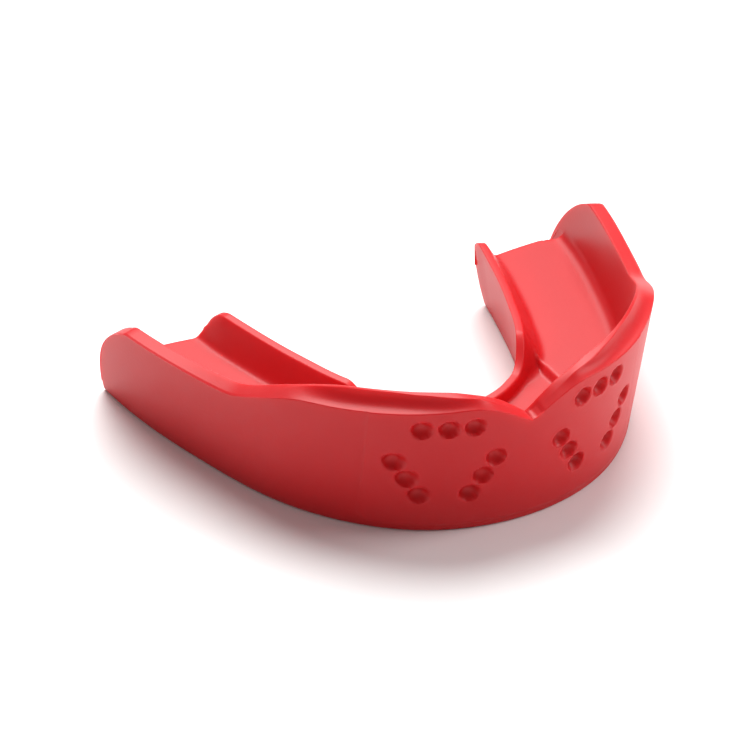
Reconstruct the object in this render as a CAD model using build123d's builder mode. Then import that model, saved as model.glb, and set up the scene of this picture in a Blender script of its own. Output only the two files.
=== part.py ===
# Boil-and-bite mouthguard for the upper teeth, moulded in one piece.
# Frame: X across the mouth, Y from the lips (-Y) to the throat (+Y), Z up towards the gums.
# The guard rests on the flat underside of its bite plate at Z = 0.
from build123d import *
from math import atan2, cos, degrees, hypot, radians, sin, sqrt, tan
import os

os.makedirs("parts", exist_ok=True)

# --- The arch, seen from above, at the height arch_level, mm ---
arch_half_width = 31.0  # outer wall from the midline, at the back
arch_depth = 47.9  # front face to the back of the outer wall
arch_level = 8.0
# Three points along the outer wall: shares of the half width and of the depth, heading in degrees
incisor_point = (0.41, 0.0772, 33.0)
canine_point = (0.7, 0.2756, 58.0)
molar_point = (0.906, 0.6363, 75.0)
back_heading = 88.5

# --- Outer wall ---
wall_thickness = 2.1
wall_flare = 9.2  # degrees that the wall leans outwards towards the gums
front_overhang = 1.13  # how far the rim leans out over the front face
front_wall_height = 18.4
molar_wall_height = 13.8
back_wall_height = 13.1
rim_fall_start = 9.0  # the rim falls between these two, behind the front face
rim_fall_end = 21.0
back_corner_radius = 14.7  # round rear end of the outer wall, seen from the side
back_corner_run = 9.9
back_end_height = 1.5  # below this the end face is upright

# --- Bite plate ---
pad_thickness = 6.0  # under the molars
front_floor_drop = 0.8  # step down to the floor under the front teeth
front_floor_half_width = 12.5
plate_end_gap = 3.6  # the plate stops this far short of the outer wall's rear end
plate_end_crown = 0.7  # its end bulges backwards by this much
bottom_edge_radius = 0.4

# --- Tongue side ---
arch_opening_back = 15.6  # front face to the inside of the arch on the midline
arm_width = 13.03  # outer wall to tongue side, at the back
# Three points along the tongue side: shares of its own half width and depth, heading in degrees
lip_end_point = (0.334, 0.0541, 34.0)
premolar_point = (0.568, 0.1802, 60.0)
mid_arm_point = (0.723, 0.4024, 72.0)
tongue_back_heading = 75.0
tongue_side_lean = 7.0  # degrees that it leans towards the tongue
tongue_wall_rise = 3.6  # above the bite plate
tongue_wall_slope = 24.0  # degrees from upright of the side facing the teeth
tongue_wall_foot = 2.5
tongue_wall_start = 3.4  # where the walls rise out of the front lip, behind the arch opening
tongue_wall_run_up = 4.0  # length of that rise
tongue_corner_radius = 2.5  # round rear end of each tongue wall, seen from the side
front_lip_rise = 1.4  # above the floor under the front teeth
front_lip_width = 1.2

# --- Frenum notch in the middle of the front rim ---
notch_depth = 4.5
notch_wall_half_width = 3.2
notch_wall_rise = 2.5  # straight part of each side, above the bottom
notch_half_width = 9.0

# --- Lip relief, a scoop along the outside of the front rim on each side ---
scoop_radius = 3.0  # hollow of the scoop
scoop_drop = 2.0  # its lower edge lies this far under the rim
scoop_bite = 1.1  # how far it cuts into the rim
scoop_sweep_radius = 31.0  # flatter than the arch, so that the scoop runs out at both ends
scoop_out = 0.5  # middle of the scoop, as a share of the half width
scoop_sweep_angle = 50.0

# --- Grip dimples in the front face ---
dimple_diameter = 2.2
dimple_depth = 1.2
dimple_flat = 0.3  # across the bottom of each, inside its round end
dimple_gap = 0.45  # between the dimples of a row
row_slant = 29.5  # degrees from upright of the two lower rows
dimples_in_row = 3
# First dimple of each row: out from the midline and up
top_row_start = (6.65, 14.4)
outer_row_start = (14.4, 9.8)
inner_row_start = (4.0, 9.8)

# --- Worked out from the sizes above ---
front_y = (front_overhang - arch_depth) / 2
wall_end = front_y + arch_depth
front_floor = pad_thickness - front_floor_drop
front_lip_height = front_floor + front_lip_rise
tongue_wall_height = pad_thickness + tongue_wall_rise
notch_bottom = front_wall_height - notch_depth
notch_wall_top = notch_bottom + notch_wall_rise
tongue_half_width = arch_half_width - arm_width
clear = 1.0  # how far a tool runs past the faces that it cuts
blank_top = front_wall_height + clear
reach = 10.0  # how far the cutting tools stand past the guard
curve_end = arch_depth + clear
tongue_depth = curve_end - arch_opening_back

# Stations of each curve: out from the midline, back from the front face, heading in degrees
outer_stations = [(0, 0, 0)]
for out_share, back_share, heading in (incisor_point, canine_point, molar_point):
    outer_stations.append((out_share * arch_half_width, back_share * arch_depth, heading))
outer_stations.append((arch_half_width, curve_end, back_heading))
tongue_stations = [(0, arch_opening_back, 0)]
for out_share, back_share, heading in (lip_end_point, premolar_point, mid_arm_point):
    back = arch_opening_back + back_share * tongue_depth
    tongue_stations.append((out_share * tongue_half_width, back, heading))
tongue_stations.append((tongue_half_width, curve_end, tongue_back_heading))

# Each dimple, out from the midline and up
seam_turn = 90
dimple_pitch = dimple_diameter + dimple_gap
slant_out = dimple_pitch * sin(radians(row_slant))
slant_down = dimple_pitch * cos(radians(row_slant))
dimples = []
for number in range(dimples_in_row):
    dimples.append((top_row_start[0] + number * dimple_pitch, top_row_start[1]))
    down = number * slant_down
    dimples.append((outer_row_start[0] - number * slant_out, outer_row_start[1] - down))
    dimples.append((inner_row_start[0] + number * slant_out, inner_row_start[1] - down))


def arch_curve(stations, outwards):
    """One curve through both halves of the arch, moved outwards along its normals."""
    points = []
    directions = []
    for out, back, heading in stations:
        turn = radians(heading)
        points.append((out + outwards * sin(turn), front_y + back - outwards * cos(turn)))
        directions.append((cos(turn), sin(turn)))
    left_points = [(-x, y) for x, y in reversed(points[1:])]
    left_directions = [(x, -y) for x, y in reversed(directions[1:])]
    return Spline(*left_points, *points, tangents=left_directions + directions)


def arch_band(height, lip_side_offset, tongue_side_offset):
    """The arch at one height, between a curve on its lip side and one on its tongue side."""
    with BuildSketch(Plane.XY.offset(height)) as band:
        with BuildLine():
            lip_side = arch_curve(outer_stations, lip_side_offset)
            tongue_side = arch_curve(tongue_stations, tongue_side_offset)
            Line(lip_side @ 0, tongue_side @ 0)
            Line(lip_side @ 1, tongue_side @ 1)
        make_face()
    return band.sketch


def outer_offset(height):
    """How far the outer face has leaned out at a height."""
    return (height - arch_level) * tan(radians(wall_flare))


def tongue_offset(height):
    """How far the tongue side has leaned out at a height: towards the tongue, so negative."""
    return -(height - arch_level) * tan(radians(tongue_side_lean))


def slot_offset(height):
    """Tongue side of the tooth trough at a height."""
    foot = tongue_offset(pad_thickness) + tongue_wall_foot
    return foot - (height - pad_thickness) * tan(radians(tongue_wall_slope))


# --- Tool: all the space inside the outer wall ---
with BuildPart() as inside_wall:
    for height in (-clear, blank_top + clear):
        add(arch_band(height, outer_offset(height) - wall_thickness, -reach))
    loft(ruled=True)

# --- Tool: the tooth trough, with the deeper floor under the front teeth ---
lip_offset = tongue_offset(front_floor) + front_lip_width
with BuildPart() as front_pocket:
    for height in (front_floor, pad_thickness + clear):
        add(arch_band(height, reach, lip_offset))
    loft(ruled=True)
    with BuildSketch(Plane.XZ.offset(-arch_depth)):
        with Locations((0, front_floor)):
            Rectangle(2 * front_floor_half_width, 2 * reach)
    extrude(amount=2 * arch_depth, mode=Mode.INTERSECT)

with BuildPart() as trough:
    for height in (pad_thickness, blank_top + clear):
        add(arch_band(height, reach, slot_offset(height)))
    loft(ruled=True)
    add(front_pocket.part)
    # the space behind the plate's ends
    plate_end = wall_end - plate_end_gap
    with BuildSketch(Plane.XY.offset(-clear)):
        for side in (-1, 1):
            with BuildLine():
                inner_end = (side * (tongue_half_width - reach / 2), plate_end - plate_end_crown)
                outer_end = (side * (arch_half_width + clear), plate_end - plate_end_crown)
                middle = (side * (tongue_half_width + arch_half_width) / 2, plate_end)
                ThreePointArc(inner_end, middle, outer_end)
                Polyline(
                    outer_end,
                    (outer_end[0], plate_end + reach),
                    (inner_end[0], plate_end + reach),
                    inner_end,
                )
            make_face()
    extrude(amount=blank_top + 2 * clear)
    add(inside_wall.part, mode=Mode.INTERSECT)

# --- Tool: everything above the rim, drawn from the side ---
with BuildPart() as above_rim:
    with BuildSketch(Plane.YZ.offset(-2 * arch_half_width)):
        with BuildLine():
            front_top = (front_y - reach, front_wall_height)
            level_end = (front_y + rim_fall_start, front_wall_height)
            fall_end = (front_y + rim_fall_end, molar_wall_height)
            arc_start = (wall_end - back_corner_run, back_wall_height)
            arc_end = (wall_end, back_end_height)
            Line(front_top, level_end)
            molar_run = (arc_start[0] - fall_end[0], arc_start[1] - fall_end[1])
            Spline(level_end, fall_end, tangents=[(1, 0), molar_run])
            Line(fall_end, arc_start)
            RadiusArc(arc_start, arc_end, back_corner_radius)
            Polyline(
                arc_end,
                (wall_end, -clear),
                (wall_end + reach, -clear),
                (wall_end + reach, blank_top + reach),
                (front_y - reach, blank_top + reach),
                front_top,
            )
        make_face()
    extrude(amount=4 * arch_half_width)

# --- Tool: everything above the tongue walls and the front lip ---
with BuildPart() as above_tongue_side:
    with BuildSketch(Plane.XY.offset(front_lip_height)):
        with BuildLine():
            trough_middle = arch_curve(tongue_stations, (pad_thickness + tongue_wall_foot) / 2)
            Line(trough_middle @ 0, trough_middle @ 1)
        make_face()
    extrude(amount=blank_top)
    with BuildSketch(Plane.YZ.offset(-arch_half_width)):
        tongue_wall_end = wall_end - plate_end_gap - plate_end_crown
        rise_start = front_y + arch_opening_back + tongue_wall_start
        with BuildLine():
            lip_end = (rise_start, front_lip_height)
            rise_end = (rise_start + tongue_wall_run_up, tongue_wall_height)
            corner_start = (tongue_wall_end - tongue_corner_radius, tongue_wall_height)
            corner_end = (tongue_wall_end, tongue_wall_height - tongue_corner_radius)
            Line((front_y, front_lip_height), lip_end)
            Spline(lip_end, rise_end, tangents=[(1, 0), (1, 0)])
            Line(rise_end, corner_start)
            RadiusArc(corner_start, corner_end, tongue_corner_radius)
            Polyline(
                corner_end,
                (tongue_wall_end, front_lip_height - clear),
                (wall_end + reach, front_lip_height - clear),
                (wall_end + reach, blank_top + reach),
                (front_y, blank_top + reach),
                (front_y, front_lip_height),
            )
        make_face()
    extrude(amount=2 * arch_half_width, mode=Mode.INTERSECT)

# --- Tool: the frenum notch, drawn from the front ---
with BuildPart() as frenum_notch:
    with BuildSketch(Plane.XZ.offset(-front_y - arch_opening_back / 2)):
        with BuildLine():
            right_shoulder = (notch_half_width, front_wall_height)
            left_shoulder = (-notch_half_width, front_wall_height)
            right_wall_top = (notch_wall_half_width, notch_wall_top)
            left_wall_top = (-notch_wall_half_width, notch_wall_top)
            bottom = (0, notch_bottom)
            wall_rise = (notch_wall_half_width, notch_wall_rise)
            wall_fall = (notch_wall_half_width, -notch_wall_rise)
            Polyline(left_wall_top, bottom, right_wall_top)
            Spline(right_wall_top, right_shoulder, tangents=[wall_rise, (1, 0)])
            Spline(left_shoulder, left_wall_top, tangents=[(1, 0), wall_fall])
            Polyline(
                right_shoulder,
                (notch_half_width, blank_top + reach),
                (-notch_half_width, blank_top + reach),
                left_shoulder,
            )
        make_face()
    extrude(amount=arch_depth)

# --- Tool: the two lip relief scoops ---
# The hollow's section is a circle through the rim, scoop_bite inside the outer face, and
# through the outer face itself, scoop_drop lower down.
scoop_chord = hypot(scoop_bite, scoop_drop)
centre_distance = sqrt(scoop_radius**2 - (scoop_chord / 2) ** 2)
scoop_outside = centre_distance * scoop_drop / scoop_chord - scoop_bite / 2
scoop_height = front_wall_height - scoop_drop / 2 + centre_distance * scoop_bite / scoop_chord
rim_curve = arch_curve(outer_stations, outer_offset(front_wall_height))
scoop_x = scoop_out * arch_half_width
scoop_middle = rim_curve.intersect(Axis((scoop_x, 0, 0), (0, 1, 0)))[0]
scoop_run = rim_curve.tangent_at(rim_curve.param_at_point(scoop_middle))
scoop_heading = degrees(atan2(scoop_run.Y, scoop_run.X))
with BuildPart() as lip_scoops:
    for side in (-1, 1):
        centre = (
            side * (scoop_middle.X - scoop_sweep_radius * sin(radians(scoop_heading))),
            scoop_middle.Y + scoop_sweep_radius * cos(radians(scoop_heading)),
            scoop_height,
        )
        start_angle = -90 + side * scoop_heading - scoop_sweep_angle / 2
        with Locations(Location(centre, (0, 0, start_angle))):
            Torus(
                scoop_sweep_radius + scoop_outside,
                scoop_radius,
                major_angle=scoop_sweep_angle,
                align=None,
            )

# --- Tool: the pins that form the grip dimples, drawn straight out towards the lips ---
with BuildPart() as dimple_pins:
    for out, height in dimples:
        outer_face = arch_curve(outer_stations, outer_offset(height))
        face_y = outer_face.intersect(Axis((out, 0, 0), (0, 1, 0)))[0].Y
        for side in (-1, 1):
            tip = (side * out, face_y + dimple_depth, height)
            # turned about its own axis so that the seam of its round side faces up
            with Locations(Location(tip, (90, 0, 0)) * Location((0, 0, 0), (0, 0, seam_turn))):
                Cylinder(
                    dimple_diameter / 2,
                    reach,
                    align=(Align.CENTER, Align.CENTER, Align.MIN),
                )
    rings = dimple_pins.edges().filter_by(GeomType.CIRCLE)
    tips = rings.filter_by(lambda ring: ring.center().Y > front_y - reach / 2)
    fillet(tips, (dimple_diameter - dimple_flat) / 2)

# --- The guard ---
with BuildPart() as mouthguard:
    for height in (0, blank_top):
        add(arch_band(height, outer_offset(height), tongue_offset(height)))
    loft(ruled=True)
    add(above_rim.part, mode=Mode.SUBTRACT)
    add(trough.part, mode=Mode.SUBTRACT)
    add(above_tongue_side.part, mode=Mode.SUBTRACT)
    add(frenum_notch.part, mode=Mode.SUBTRACT)
    bottom_edges = mouthguard.edges().group_by(Axis.Z)[0]
    fillet(bottom_edges, bottom_edge_radius)
    add(lip_scoops.part, mode=Mode.SUBTRACT)
    add(dimple_pins.part, mode=Mode.SUBTRACT)

mouthguard.part.label = "mouthguard"
export_step(mouthguard.part, "parts/mouthguard.step")
print("mouthguard", mouthguard.part.bounding_box(), "volume", round(mouthguard.part.volume, 1))
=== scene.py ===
import math
import bmesh
import bpy
import numpy as np
from mathutils import Matrix, Vector


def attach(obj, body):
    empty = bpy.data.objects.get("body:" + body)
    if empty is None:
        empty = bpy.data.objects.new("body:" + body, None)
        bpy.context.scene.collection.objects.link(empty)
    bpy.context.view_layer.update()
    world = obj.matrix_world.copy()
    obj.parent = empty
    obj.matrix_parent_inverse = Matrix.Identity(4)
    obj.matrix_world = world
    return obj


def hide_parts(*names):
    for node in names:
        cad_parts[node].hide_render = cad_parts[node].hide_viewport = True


# Boil-and-bite mouthguard, upper arch. Shapes are worked out in mm and written to the mesh in metres.
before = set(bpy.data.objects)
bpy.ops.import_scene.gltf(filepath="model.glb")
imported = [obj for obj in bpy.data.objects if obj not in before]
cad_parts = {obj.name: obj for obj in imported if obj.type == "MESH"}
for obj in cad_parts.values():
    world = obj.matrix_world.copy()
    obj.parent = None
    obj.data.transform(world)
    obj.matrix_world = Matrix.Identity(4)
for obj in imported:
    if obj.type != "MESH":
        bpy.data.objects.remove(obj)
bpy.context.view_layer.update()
mm = 0.001

# ---- The guard ----
guard = {
    # plan curves: out from the midline, back from the front face, heading in degrees
    "outerPlan": [(0, 0, 0), (12.71, 3.7, 33), (21.7, 13.2, 58), (28.09, 30.48, 75), (30.97, 48.9, 88.5)],
    "tonguePlan": [(0, 15.6, 0), (6.0, 17.4, 34), (10.2, 21.6, 60), (13.0, 29.0, 72), (17.97, 48.9, 75)],
    "frontY": -23.385,
    "planLevel": 8.0,
    "flare": 9.2,
    "tongueLean": 7.0,
    # distance along the outer curve against distance along the tongue curve
    "pairing": [(0, 0), (13.4, 6.3), (26.6, 12.4), (36.3, 17.4), (45.1, 23.4), (58.88, 35.4), (62.4, 38.8)],
    # heights and widths against distance along the outer curve
    "outerRim": [(0, 13.85), (4.3, 16.35), (6.3, 16.85), (9.3, 16.78), (14.8, 16.62), (20.2, 16.45),
                 (25.2, 16.25), (25.9, 16.12), (28.0, 15.5), (32.6, 13.85), (34.0, 13.32), (34.6, 13.16),
                 (38.0, 12.9), (53.0, 12.7)],
    "innerRim": [(0, 13.98), (3.2, 16.4), (6.3, 17.6), (9.2, 18.2), (14.8, 18.33), (20.2, 18.2), (22.8, 17.8),
                 (25.4, 17.13), (28.0, 16.35), (33.4, 14.3), (34.2, 14.05), (38.0, 13.62), (42.0, 13.35),
                 (53.0, 13.06)],
    "wallThickness": [(0, 2.05), (6, 2.25), (12, 2.4), (25, 2.3), (32, 2.05), (42, 1.9), (64, 1.85)],
    # ridge between strip and scoop: share of the wall from the inner rim, and height over the straight line
    "ridgeShare": [(0, 0.5), (3.5, 0.52), (8, 0.5), (12, 0.3), (16, 0.14), (25, 0.14), (29, 0.5), (34, 0.84),
                   (64, 0.86)],
    "ridgeLift": [(0, 0.02), (3.5, 0.1), (6, 0.5), (10, 0.5), (13, 0.3), (17, 0.12), (25, 0.06), (29, 0.02),
                  (34, 0.06), (64, 0.08)],
    "scoopHollow": [(0, 0), (4.2, 0), (7, 0.12), (11, 0.3), (16, 0.42), (21, 0.34), (25.5, 0.06), (27.2, 0),
                    (64, 0)],
    "hollowAcross": 1.5,
    "hollowDown": 1.2,
    # round rear end of the outer wall: places back from the front face
    "endStart": 38.0,
    "endStop": 47.5,
    "endRadius": 14.7,
    "endRimZ": 12.9,
    "endHeight": 1.6,
    "endBlend": (-0.6, 1.2),
    # bite plate
    "floorZ": 6.0,
    "frontFloorDrop": 0.8,
    "frontFloorHalfWidth": 12.4,
    "frontFloorBlend": 0.2,
    "plateEnd": 43.6,
    "plateEndRound": 0.5,
    "plateCrown": 0.55,
    "crownRun": 5.0,
    "plateBulge": 1.0,
    "bulgeRun": 3.5,
    "bulgeZ": 4.8,
    "bulgeReach": 4.9,
    # tongue walls and front lip
    "lipZ": 6.75,
    "lipTop": 0.9,
    "lipFoot": 1.35,
    "tongueWallZ": 9.5,
    "tongueWallTop": 0.95,
    "tongueWallFoot": 2.5,
    "tongueWallRise": (18.6, 22.6),
    "tongueTopSlope": 0.12,
    "tongueCornerRadius": 2.4,
}
# Corners in the order that the section runs through them: rounding distance, most of an edge that it may take,
# points on the corner, points on the edge after it
section = {
    "outerBottom": (0.38, 0.40, 5, 80),
    "outerRim": (0.14, 0.14, 4, 1),
    "hollow": (9.0, 0.86, 9, 1),
    "ridge": (0.14, 0.14, 4, 4),
    "innerRim": (0.20, 0.30, 5, 15),
    "wallFoot": (1.30, 0.35, 7, 16),
    "tongueFoot": (0.60, 0.35, 6, 4),
    "tongueTopIn": (0.16, 0.40, 4, 1),
    "tongueTopOut": (0.16, 0.40, 4, 6),
    "tongueBottom": (0.38, 0.40, 5, 7),
}
corner = {name: k for k, name in enumerate(section)}
# Rows of points along the arch: closest together at the dimples and at the rounded ends
rows = {
    "dimplesEnd": 19,
    "dimpleStep": 0.17,
    "scoopEnd": 31,
    "scoopStep": 0.33,
    "arm": 30,
    "toPlateEnd": 9,
    "plateEnd": 20,
    "plateEndRun": 2.6,
    "wallEnd": 28,
    "wallEndBunching": 1.7,
    "sinking": (0.5, 1.0),
    "endFace": (0.06, 0.18, 0.32, 0.48, 0.64, 0.8, 0.92),
    # share of the way to the middle of the wall's end, and how far out the ring lies
    "cap": [(0.08, 0.1), (0.22, 0.19), (0.42, 0.24), (0.7, 0.25), (1.0, 0.25)],
    "capSpine": 0.9,
}
# Grip dimples: first of each row (out, up), step to the next one
dimples = {
    "rows": [((6.6, 14.4), (2.68, 0.0)), ((14.35, 9.8), (-1.3, -2.3)), ((4.0, 9.8), (1.3, -2.3))],
    "perRow": 3,
    "radius": 1.12,
    "depth": 1.08,
    "sideSlope": 3.6,
    "rimSoftness": 0.14,
    "softnessReach": 0.6,
    "lipHeight": 0.035,
    "lipWidth": 0.16,
    "wallDepth": 4.0,
}
# Marks of the mould
mould = {
    "panelHalfWidth": 16.75,
    "panelBottom": 0.95,
    "panelCorner": 1.3,
    "panelStep": 0.09,
    "panelSoftness": 0.11,
    # place across, depth
    "fineLines": [(15.9, 0.02), (16.35, 0.02)],
    "fineLineWidth": 0.07,
    "fineLineFade": (1.5, 3),
    # step in the rim beside the notch: depth, where it starts and where it ends
    "notchStep": 0.16,
    "notchStart": (0.25, 0.45),
    "notchStop": (1.25, 1.4),
}


def hermite(a, b, slopeA, slopeB, t):
    # Cubic from a to b over t = 0..1, leaving a with slope slopeA and reaching b with slope slopeB
    return ((2 * t**3 - 3 * t**2 + 1) * a + (t**3 - 2 * t**2 + t) * slopeA
            + (3 * t**2 - 2 * t**3) * b + (t**3 - t**2) * slopeB)


def alongTable(pairs, x):
    # Smooth value through (x, y) pairs: cubics whose slope at a pair is that between its neighbours, at most
    # three times the smaller of the slopes on its two sides
    xs, ys = np.array(pairs, float).T
    chord = np.diff(ys) / np.diff(xs)
    limit = 3 * np.minimum(np.abs(np.r_[chord[0], chord]), np.abs(np.r_[chord, chord[-1]]))
    slope = np.clip(np.gradient(ys, xs), -limit, limit)
    x = np.clip(x, xs[0], xs[-1])
    i = np.clip(np.searchsorted(xs, x, side="right") - 1, 0, len(xs) - 2)
    width = xs[i + 1] - xs[i]
    return hermite(ys[i], ys[i + 1], width * slope[i], width * slope[i + 1], (x - xs[i]) / width)


def smoothStep(x, low, high):
    # 3t^2 - 2t^3, where t runs from 0 at low to 1 at high
    t = np.clip((x - low) / (high - low), 0, 1)
    return t * t * (3 - 2 * t)


def slopeOf(degrees):
    return math.tan(math.radians(degrees))


def planCurve(stations, samples=800):
    # Cubics from station to station, tangents as long as the chord. Gives points, outward normals and length
    points = np.array([(out, back) for out, back, heading in stations], float)
    turn = np.radians([heading for out, back, heading in stations])
    tangents = np.stack([np.cos(turn), np.sin(turn)], 1)
    chord = np.linalg.norm(np.diff(points, axis=0), axis=1)
    u = np.linspace(0, len(chord) - 1e-9, samples * len(chord))
    i = u.astype(int)
    length = chord[i][:, None]
    leaving, reaching = length * tangents[i], length * tangents[i + 1]
    curve = hermite(points[i], points[i + 1], leaving, reaching, (u - i)[:, None])
    run = np.gradient(curve, axis=0)
    run /= np.linalg.norm(run, axis=1, keepdims=True)
    along = np.r_[0, np.cumsum(np.linalg.norm(np.diff(curve, axis=0), axis=1))]
    return curve, np.stack([run[:, 1], -run[:, 0]], 1), along


def onCurve(curve, normal, along, s):
    # Point and unit normal at distance s along a plan curve
    p = np.stack([np.interp(s, along, curve[:, k]) for k in (0, 1)], 1)
    n = np.stack([np.interp(s, along, normal[:, k]) for k in (0, 1)], 1)
    return p, n / np.linalg.norm(n, axis=1, keepdims=True)


def halfStations(g, n, curve, along):
    # Distances along the outer curve from the midline to the rear end, and which of them is at the plate's end
    def sAtBack(back):
        return np.interp(back, curve[:, 1], along)

    endStart = float(sAtBack(g["endStart"]))
    cornerStart = g["plateEnd"] - n["plateEndRun"]
    toCorner = sAtBack(np.linspace(g["endStart"], cornerStart, n["toPlateEnd"])[:-1])
    plateCorner = sAtBack(np.linspace(cornerStart, g["plateEnd"], n["plateEnd"]))
    bunched = 1 - (1 - np.linspace(0, 1, n["wallEnd"])[1:])**n["wallEndBunching"]
    tail = sAtBack(g["plateEnd"] + (g["endStop"] - g["plateEnd"]) * bunched)
    s = np.concatenate([np.arange(0, n["dimplesEnd"], n["dimpleStep"]),
                        np.arange(n["dimplesEnd"], n["scoopEnd"], n["scoopStep"]),
                        np.linspace(n["scoopEnd"], endStart, n["arm"])[:-1], toCorner, plateCorner, tail])
    return s, len(s) - len(tail) - 1


def endDrop(g, back):
    # Fall of the rim over the rear end: circle of radius R through the rim at endStart and endHeight at endStop
    run, fall = g["endStop"] - g["endStart"], g["endRimZ"] - g["endHeight"]
    half = math.hypot(run, fall) / 2
    reach = math.sqrt(g["endRadius"]**2 - half**2)
    centreX = run / 2 - reach * fall / (2 * half)
    centreZ = -fall / 2 - reach * run / (2 * half)
    x = np.clip(back - g["endStart"], 0, run)
    z = centreZ + np.sqrt(np.maximum(g["endRadius"]**2 - (x - centreX)**2, 0))
    return -z * smoothStep(back - g["endStart"], *g["endBlend"])


def quarterDrop(radius, left):
    # Fall of a quarter round at the distance left before its end: R - sqrt(R^2 - (R - left)^2)
    return radius - np.sqrt(np.maximum(radius * radius - (radius - np.clip(left, 0, radius))**2, 0))


def bulgeAt(g, z):
    # How far the plate's end swells out at height z: bulge (1 - ((z - bulgeZ) / bulgeReach)^2)
    return g["plateBulge"] * np.clip(1 - ((z - g["bulgeZ"]) / g["bulgeReach"])**2, 0, 1)


def sectionCorners(g, s, outer, tongue):
    # Corners of the section at every station: each is a plan point moved along its normal, at a height
    (po, no), (pt, nt) = outer, tongue
    flare, lean, level = slopeOf(g["flare"]), slopeOf(g["tongueLean"]), g["planLevel"]
    back = po[:, 1]
    drop = endDrop(g, back)
    rimOut = alongTable(g["outerRim"], s) - drop
    rimIn = alongTable(g["innerRim"], s) - drop
    thick = alongTable(g["wallThickness"], s)
    share = alongTable(g["ridgeShare"], s)
    hollow = alongTable(g["scoopHollow"], s)
    rimOff, rimInOff = (rimOut - level) * flare, (rimIn - level) * flare - thick
    ridgeOff = rimInOff + share * (rimOff - rimInOff)
    ridgeZ = rimIn + share * (rimOut - rimIn) + alongTable(g["ridgeLift"], s)
    rise = smoothStep(pt[:, 1], *g["tongueWallRise"])
    cornerDrop = quarterDrop(g["tongueCornerRadius"], g["plateEnd"] - pt[:, 1])
    wallZ = g["lipZ"] + rise * (g["tongueWallZ"] - g["lipZ"]) - cornerDrop
    foot = g["lipFoot"] + rise * (g["tongueWallFoot"] - g["lipFoot"])
    top = g["lipTop"] + rise * (g["tongueWallTop"] - g["lipTop"])
    floor = np.full_like(s, g["floorZ"])
    lowFoot = np.minimum(floor, np.maximum(rimIn - 1.5, 0.5 * rimIn))  # stays under the falling rim
    footZ = np.where(back > g["plateEnd"], lowFoot, floor)
    zero = np.zeros_like(s)

    def place(base, normal, off, z):
        return np.concatenate([base + normal * off[:, None], z[:, None]], 1)

    footOff = -(floor - level) * lean + foot
    topOff = -(wallZ - level) * lean
    return np.stack([
        place(po, no, zero - level * flare, zero),
        place(po, no, rimOff, rimOut),
        place(po, no, (rimOff + ridgeOff) / 2 - g["hollowAcross"] * hollow,
              (rimOut + ridgeZ) / 2 - g["hollowDown"] * hollow),
        place(po, no, ridgeOff, ridgeZ),
        place(po, no, rimInOff, rimIn),
        place(po, no, (footZ - level) * flare - thick, footZ),
        place(pt, nt, footOff, floor),
        place(pt, nt, topOff + top, wallZ - g["tongueTopSlope"]),
        place(pt, nt, topOff, wallZ),
        place(pt, nt, zero + level * lean, zero),
    ], 1)


def roundedLoop(corners, plan):
    # Closed section: straight edges between the corners, and at each corner the quadratic Bezier
    # (1-t)^2 a + 2t(1-t) p + t^2 b, whose ends a and b lie the rounding distance along the two edges.
    # The second result numbers each point: k at corner k, k + 1/2 in the middle of the edge after it
    rounding, share, cornerPoints, edgePoints = zip(*plan.values())
    before = np.roll(corners, 1, 1) - corners
    after = np.roll(corners, -1, 1) - corners
    lengthBefore = np.linalg.norm(before, axis=2, keepdims=True)
    lengthAfter = np.linalg.norm(after, axis=2, keepdims=True)
    reach = np.minimum(np.array(rounding)[None, :, None],
                       np.array(share)[None, :, None] * np.minimum(lengthBefore, lengthAfter))
    a = corners + before / np.maximum(lengthBefore, 1e-6) * reach
    b = corners + after / np.maximum(lengthAfter, 1e-6) * reach
    nextA = np.roll(a, -1, 1)
    pieces, number = [], []
    for k, (onCorner, onEdge) in enumerate(zip(cornerPoints, edgePoints)):
        t = np.linspace(0, 1, onCorner)[None, :, None]
        middle = corners[:, k, None]
        pieces.append((1 - t)**2 * a[:, k, None] + 2 * t * (1 - t) * middle + t * t * b[:, k, None])
        number.append(k + 0.2 * (t.ravel() - 0.5))
        u = (np.arange(1, onEdge + 1) / (onEdge + 1))[None, :, None]
        pieces.append((1 - u) * b[:, k, None] + u * nextA[:, k, None])
        number.append(k + 0.1 + 0.8 * u.ravel())
    return np.concatenate(pieces, 1), np.concatenate(number)


def onOuterFace(number):
    return (number > corner["outerBottom"] - 0.2) & (number < corner["outerRim"] + 0.1)


def dimpleCentres(d):
    out = [(side * (start[0] + i * step[0]), start[1] + i * step[1])
           for start, step in d["rows"] for i in range(d["perRow"]) for side in (-1, 1)]
    return np.array(out)


def pressDimples(grid, number, d, g, curve, normal):
    # Each dimple is a round-ended pin along Y: y = max(skin, tip - (R - sqrt(R^2 - r^2))), with a soft maximum,
    # and a low ring round it: height h exp(-((r - R - w) / w)^2)
    face = onOuterFace(number)
    skin = grid[:, face]
    x, y, z = skin[..., 0], skin[..., 1].copy(), skin[..., 2]
    radius, soft, flare = d["radius"], d["rimSoftness"], slopeOf(g["flare"])
    for cx, cz in dimpleCentres(d):
        wall = curve + normal * ((cz - g["planLevel"]) * flare)
        tip = np.interp(abs(cx), wall[:, 0], wall[:, 1]) + d["depth"]
        r = np.hypot(x - cx, z - cz)
        near = (r < radius * 2) & (y < tip + d["wallDepth"])
        hollow = radius - np.sqrt(np.maximum(radius**2 - r**2, 0))
        bowl = tip - hollow - d["sideSlope"] * np.maximum(r - radius, 0)
        gap = y - bowl
        deeper = (0.5 * (y + bowl + np.sqrt(gap**2 + soft**2))
                  - 0.5 * soft**2 / (np.abs(gap) + d["softnessReach"]))
        ring = d["lipHeight"] * np.exp(-((r - radius - d["lipWidth"]) / d["lipWidth"])**2)
        y = np.where(near, np.maximum(deeper, y) - ring * (gap > 0), y)
    grid[:, face, 1] = y
    return grid


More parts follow.
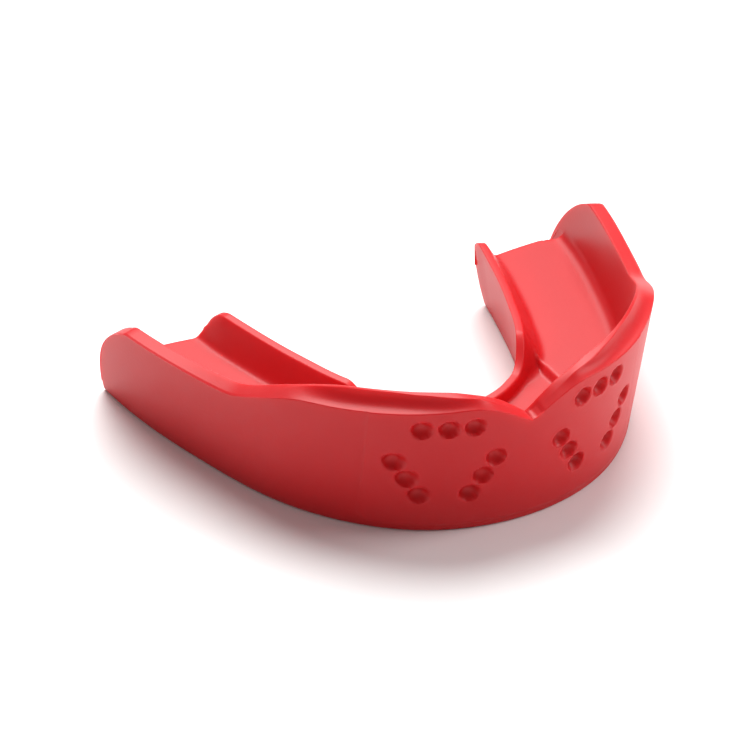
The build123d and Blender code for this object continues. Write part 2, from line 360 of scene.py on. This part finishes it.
def pressPanel(grid, number, m, normals):
    # The front panel stands out by the step inside a rounded rectangle: signed distance to it through a smooth
    # step, and fine lines of depth exp(-((x - x0) / w)^2) beside it
    face = onOuterFace(number)
    x, z = grid[:, face, 0], grid[:, face, 2]
    radius = m["panelCorner"]
    qx = np.abs(x) - (m["panelHalfWidth"] - radius)
    qz = (m["panelBottom"] + radius) - z
    beyond = np.hypot(np.maximum(qx, 0), np.maximum(qz, 0))
    distance = beyond + np.minimum(np.maximum(qx, qz), 0) - radius
    inside = 1 - smoothStep(distance, -m["panelSoftness"], m["panelSoftness"])
    move = m["panelStep"] * (inside - 1)
    for at, depth in m["fineLines"]:
        line = np.exp(-((x - at) / m["fineLineWidth"])**2)
        move = move - depth * line * smoothStep(z, *m["fineLineFade"])
    grid[:, face, :2] += normals[:, None, :] * move[..., None]
    return grid


def stepRimAtNotch(grid, number, m):
    # The rim lies lower by the step between two smooth steps across
    x = grid[..., 0]
    top = ((number > corner["outerRim"] + 0.1) & (number < corner["innerRim"] - 0.4))[None, :]
    step = smoothStep(x, *m["notchStart"]) * (1 - smoothStep(x, *m["notchStop"]))
    grid[..., 2] -= m["notchStep"] * step * top
    return grid


def shapePlate(grid, number, g, back):
    # Floor under the front teeth lowered where |x| < half width, the walls over it stretching to suit, and the
    # rear end of the plate crowned along the path, swollen and rounded. Gives the end's y before that, too
    wallFoot, tongueFoot, tongueBottom = corner["wallFoot"], corner["tongueFoot"], corner["tongueBottom"]
    inFloor = np.clip(np.minimum((number - wallFoot + 0.65) / 0.65, (7 - number) / 0.9), 0, 1)
    halfWidth, blend = g["frontFloorHalfWidth"], g["frontFloorBlend"]
    inside = 1 - smoothStep(np.abs(grid[..., 0]), halfWidth - blend, halfWidth + blend)
    grid[..., 2] -= g["frontFloorDrop"] * inside * inFloor[None, :]

    flatY = grid[..., 1].copy()
    across = np.clip((number - wallFoot) / 1.6, 0, 1)
    crown = g["plateCrown"] * (1 - (2 * across - 1)**2) * (number > wallFoot) * (number < tongueFoot + 0.6)
    grid[..., 1] += smoothStep(back, g["plateEnd"] - g["crownRun"], g["plateEnd"])[:, None] * crown[None, :]
    onPlate = np.clip(np.minimum((number - wallFoot - 0.1) / 0.15, (tongueBottom + 0.9 - number) / 0.3), 0, 1)
    swell = smoothStep(back, g["plateEnd"] - g["bulgeRun"], g["plateEnd"])[:, None]
    grid[..., 1] += swell * bulgeAt(g, grid[..., 2]) * onPlate[None, :]
    onFloor = (number > wallFoot + 0.15) & (number < tongueFoot + 0.3)
    grid[..., 2] -= quarterDrop(g["plateEndRound"], g["plateEnd"] - back)[:, None] * onFloor[None, :]
    return flatY


def foldOntoWall(grid, number, g, s, outer, tail):
    # Behind the plate only the outer wall goes on, so the rest of the section lies on its inner face:
    # z = foot (1 - q), with q from 0 at the foot to 1 at the bottom edge, and a straight line under the wall
    count = np.arange(len(number))
    first = int(np.argmax(number > corner["wallFoot"] - 0.02))
    last = int(np.argmax(number > corner["tongueBottom"] + 0.55))
    q = np.clip((count - first) / (last - first), 0, 1)
    z = grid[:, first, 2][:, None] * (1 - q[None, :])
    off = (z - g["planLevel"]) * slopeOf(g["flare"]) - alongTable(g["wallThickness"], s)[:, None]
    line = np.concatenate([outer[0][:, None, :] + outer[1][:, None, :] * off[..., None], z[..., None]], 2)
    onInside = (count >= first) & (count <= last)
    grid[np.ix_(tail, onInside)] = line[np.ix_(tail, onInside)]
    under = count > last
    w = ((count - last) / (len(number) - last))[under][None, :, None]
    grid[np.ix_(tail, under)] = ((1 - w) * grid[:, last, None] + w * grid[:, 0, None])[tail]
    return onInside


def plateEndRows(g, n, number, corners, plateRow, flatEnd, behind, onInside):
    # Rows that close the plate's end: first the tongue wall sinks to the floor, then the outline draws in to
    # the wall. y = straight line from the outline to the wall + fade (bulge + crown)
    sunk = plateRow.copy()
    tongueWall = (number > corner["tongueFoot"] - 0.1) & (number < corner["tongueBottom"])
    floorZ = plateRow[int(np.argmax(number > corner["wallFoot"] + 0.5)), 2]
    sunk[tongueWall, 2] = np.minimum(plateRow[tongueWall, 2], floorZ)
    wallLine = behind[onInside][::-1]
    innerX, outerX = corners[corner["tongueTopOut"], 0], corners[corner["wallFoot"], 0]
    face = onInside & (number > corner["wallFoot"] + 0.25)

    def endFace(t):
        row = sunk + t * (behind - sunk)
        x, z = row[:, 0], row[:, 2]
        fade = smoothStep(np.interp(z, wallLine[:, 2], wallLine[:, 0]) - x, 0, 1.6)
        across = (outerX - x) / (outerX - innerX)
        crown = g["plateCrown"] * (1 - (across - 0.75)**2) * smoothStep(z, 0, 5.5)
        crown = crown * smoothStep(x, innerX, innerX + 2.4)
        flat = flatEnd + t * (behind[:, 1] - flatEnd)
        row[face, 1] = (flat + fade * (bulgeAt(g, z) + crown))[face]
        return row

    return ([plateRow] + [plateRow + t * (sunk - plateRow) for t in n["sinking"]]
            + [endFace(t) for t in n["endFace"]])


def capRows(n, end):
    # Rings that close the wall's rear end: end + t (spine - end), the spine a short upright line inside it
    low, high = end[:, 2].min(), end[:, 2].max()
    middle = end.mean(0)
    spine = np.stack([np.full(len(end), middle[0]), np.full(len(end), middle[1]),
                      np.clip(end[:, 2], low + n["capSpine"], high - n["capSpine"])], 1)
    return [end + t * (spine - end) + np.array([0, push, 0]) for t, push in n["cap"]]


def mirrorAcross(half):
    # The half and its mirror image in x, joined at the row on the midline
    mirrored = half[:0:-1].copy()
    mirrored[..., 0] *= -1
    return np.concatenate([mirrored, half], 0)


def guardGrid(g, n, d, m):
    # Grid of the whole skin: rows along the arch, and in each row the closed section
    curve, normal, along = planCurve(g["outerPlan"])
    tongueCurve, tongueNormal, tongueAlong = planCurve(g["tonguePlan"])
    s, plateIndex = halfStations(g, n, curve, along)
    outer = onCurve(curve, normal, along, s)
    tongue = onCurve(tongueCurve, tongueNormal, tongueAlong, alongTable(g["pairing"], s))
    corners = sectionCorners(g, s, outer, tongue)
    grid, number = roundedLoop(corners, section)
    flatY = shapePlate(grid, number, g, outer[0][:, 1])
    plateRow = grid[plateIndex].copy()
    onInside = foldOntoWall(grid, number, g, s, outer, np.arange(len(s)) >= plateIndex)
    closing = plateEndRows(g, n, number, corners[plateIndex], plateRow, flatY[plateIndex],
                           grid[plateIndex].copy(), onInside)
    cap = capRows(n, grid[-1])
    half = np.concatenate([grid[:plateIndex], np.stack(closing), grid[plateIndex:], np.stack(cap)], 0)
    source = np.r_[:plateIndex, [plateIndex] * len(closing), plateIndex:len(s), [len(s) - 1] * len(cap)]
    whole = mirrorAcross(half)
    normals = mirrorAcross(outer[1][source])
    whole[..., 1] += g["frontY"]
    whole = pressDimples(whole, number, d, g, curve + np.array([0, g["frontY"]]), normal)
    whole = pressPanel(whole, number, m, normals)
    return stepRimAtNotch(whole, number, m)


def gridObject(name, grid, mat, sharpAngle=50):
    # Joins a grid of rings into quads: each ring closes on itself, and equal points at the ends are merged
    count, around = grid.shape[:2]
    index = np.arange(count * around).reshape(count, around)
    a, b = index[:-1], index[1:]
    quads = np.stack([a, b, np.roll(b, -1, 1), np.roll(a, -1, 1)], 2).reshape(-1, 4)
    mesh = bpy.data.meshes.new(name)
    mesh.from_pydata((grid.reshape(-1, 3) * mm).tolist(), [], quads.tolist())
    mesh.update()
    ob = bpy.data.objects.new(name, mesh)
    bpy.context.scene.collection.objects.link(ob)
    work = bmesh.new()
    work.from_mesh(mesh)
    bmesh.ops.remove_doubles(work, verts=work.verts, dist=2e-6)
    bmesh.ops.recalc_face_normals(work, faces=work.faces)
    work.to_mesh(mesh)
    work.free()
    mesh.shade_smooth()
    mesh.set_sharp_from_angle(angle=math.radians(sharpAngle))
    mesh.materials.append(mat)
    return ob


# ---- Material ----
plastic = {
    "color": (0.60, 0.010, 0.014, 1),
    "bloomColor": (0.64, 0.03, 0.034, 1),
    "bloomFrom": 0.45,
    "bloomTo": 0.75,
    "bloomMost": 0.12,
    "cloudScale": 140,
    "roughness": 0.42,
    "specular": 0.34,
    "grainScale": 2600,
    "grainStrength": 0.10,
    "grainHeight": 0.0001,
    "subsurface": 0.5,
    "subsurfaceRadius": (1.0, 0.18, 0.14),
    "subsurfaceScale": 0.0025,
}


def grainGroup():
    # Shared surface effect: height of the fine moulded grain, and soft clouds for the bloom on the skin
    tree = bpy.data.node_groups.new("mouldedGrain", "ShaderNodeTree")
    sockets = {"Grain Scale": "INPUT", "Cloud Scale": "INPUT", "Height": "OUTPUT", "Cloud": "OUTPUT"}
    for name, way in sockets.items():
        tree.interface.new_socket(name, in_out=way, socket_type="NodeSocketFloat")
    nodes, links = tree.nodes, tree.links
    entry, leave = nodes.new("NodeGroupInput"), nodes.new("NodeGroupOutput")
    coord = nodes.new("ShaderNodeTexCoord")
    for scaleName, outName in (("Grain Scale", "Height"), ("Cloud Scale", "Cloud")):
        noise = nodes.new("ShaderNodeTexNoise")
        noise.inputs["Detail"].default_value = 2
        links.new(coord.outputs["Object"], noise.inputs["Vector"])
        links.new(entry.outputs[scaleName], noise.inputs["Scale"])
        links.new(noise.outputs["Fac"], leave.inputs[outName])
    return tree


def plasticMaterial(p):
    mat = bpy.data.materials.new("guardPlastic")
    mat.use_nodes = True
    nodes, links = mat.node_tree.nodes, mat.node_tree.links
    shader = nodes["Principled BSDF"]
    grain = nodes.new("ShaderNodeGroup")
    grain.node_tree = grainGroup()
    grain.inputs["Grain Scale"].default_value = p["grainScale"]
    grain.inputs["Cloud Scale"].default_value = p["cloudScale"]
    mix = nodes.new("ShaderNodeMix")
    mix.data_type = "RGBA"
    mix.inputs[6].default_value = p["color"]
    mix.inputs[7].default_value = p["bloomColor"]
    spread = nodes.new("ShaderNodeMapRange")
    spread.inputs["From Min"].default_value = p["bloomFrom"]
    spread.inputs["From Max"].default_value = p["bloomTo"]
    spread.inputs["To Max"].default_value = p["bloomMost"]
    links.new(grain.outputs["Cloud"], spread.inputs["Value"])
    links.new(spread.outputs["Result"], mix.inputs["Factor"])
    links.new(mix.outputs[2], shader.inputs["Base Color"])
    bump = nodes.new("ShaderNodeBump")
    bump.inputs["Strength"].default_value = p["grainStrength"]
    bump.inputs["Distance"].default_value = p["grainHeight"]
    links.new(grain.outputs["Height"], bump.inputs["Height"])
    links.new(bump.outputs["Normal"], shader.inputs["Normal"])
    shader.inputs["Roughness"].default_value = p["roughness"]
    shader.inputs["Subsurface Weight"].default_value = p["subsurface"]
    shader.inputs["Subsurface Radius"].default_value = p["subsurfaceRadius"]
    shader.inputs["Subsurface Scale"].default_value = p["subsurfaceScale"]
    shader.inputs["Specular IOR Level"].default_value = p["specular"]
    return mat


guardBody = gridObject("guardBody", guardGrid(guard, rows, dimples, mould), plasticMaterial(plastic))
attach(guardBody, "root")
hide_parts("mouthguard")
print("guard: faces", len(guardBody.data.polygons))

# ---- Floor and light ----
studio = {
    "floorColor": (0.96, 0.96, 0.96, 1),
    "floorRoughness": 0.7,
    "floorSize": 6,
    "floorLevel": -0.00002,
    "world": (1.0, 1.0, 1.0),
    "worldStrength": 0.27,
    "exposure": 0.0,
    "aim": (0, 0, 0.01),
    # name: place in metres, size, watts, colour
    "lights": {
        "overhead": ((0.12, 0.34, 0.60), 0.60, 7.3, (1.0, 0.99, 0.98)),
        "frontRight": ((0.55, -0.25, 0.40), 0.40, 2.2, (1.0, 1.0, 1.0)),
    },
}


def buildStudio(st):
    floorMat = bpy.data.materials.new("paleFloor")
    floorMat.use_nodes = True
    floorShader = floorMat.node_tree.nodes["Principled BSDF"]
    floorShader.inputs["Base Color"].default_value = st["floorColor"]
    floorShader.inputs["Roughness"].default_value = st["floorRoughness"]
    bpy.ops.mesh.primitive_plane_add(size=st["floorSize"], location=(0, 0, st["floorLevel"]))
    floor = bpy.context.active_object
    floor.name = "studioFloor"
    floor.data.materials.append(floorMat)
    world = bpy.data.worlds.new("studioWorld")
    bpy.context.scene.world = world
    world.use_nodes = True
    world.node_tree.nodes["Background"].inputs["Color"].default_value = (*st["world"], 1)
    world.node_tree.nodes["Background"].inputs["Strength"].default_value = st["worldStrength"]
    for name, (place, size, watts, color) in st["lights"].items():
        light = bpy.data.lights.new(name, "AREA")
        light.shape = "DISK"
        light.size = size
        light.energy = watts
        light.color = color
        ob = bpy.data.objects.new(name, light)
        ob.location = place
        ob.rotation_euler = (Vector(st["aim"]) - Vector(place)).to_track_quat("-Z", "Y").to_euler()
        bpy.context.scene.collection.objects.link(ob)
    bpy.context.scene.view_settings.view_transform = "Standard"
    bpy.context.scene.view_settings.exposure = st["exposure"]


buildStudio(studio)
print("studio: lights", len(studio["lights"]))

# ---- Camera ----
shot = {
    "target": (0.0, 0.013875, -0.00121),
    "azimuth": -26.1,
    "elevation": 31.74,
    "roll": -1.39,
    "distance": 0.50022,
    "lens": 207.72,
    "sensor": 36,
    "clipStart": 0.01,
}


def placeCamera(v):
    # Looks at the target from azimuth and elevation, then turns by the roll about its own axis
    a, e, r = (math.radians(v[k]) for k in ("azimuth", "elevation", "roll"))
    back = Vector((math.sin(a) * math.cos(e), -math.cos(a) * math.cos(e), math.sin(e)))
    right = (-back).cross(Vector((0, 0, 1))).normalized()
    up = right.cross(-back)
    turnedRight = math.cos(r) * right + math.sin(r) * up
    turnedUp = -math.sin(r) * right + math.cos(r) * up
    cam = bpy.data.cameras.new("shotCamera")
    cam.lens = v["lens"]
    cam.sensor_width = v["sensor"]
    cam.clip_start = v["clipStart"]
    ob = bpy.data.objects.new("shotCamera", cam)
    place = Vector(v["target"]) + back * v["distance"]
    turn = Matrix((turnedRight, turnedUp, back)).transposed().to_4x4()
    ob.matrix_world = Matrix.Translation(place) @ turn
    bpy.context.scene.collection.objects.link(ob)
    bpy.context.scene.camera = ob


placeCamera(shot)
print("camera: lens", shot["lens"])
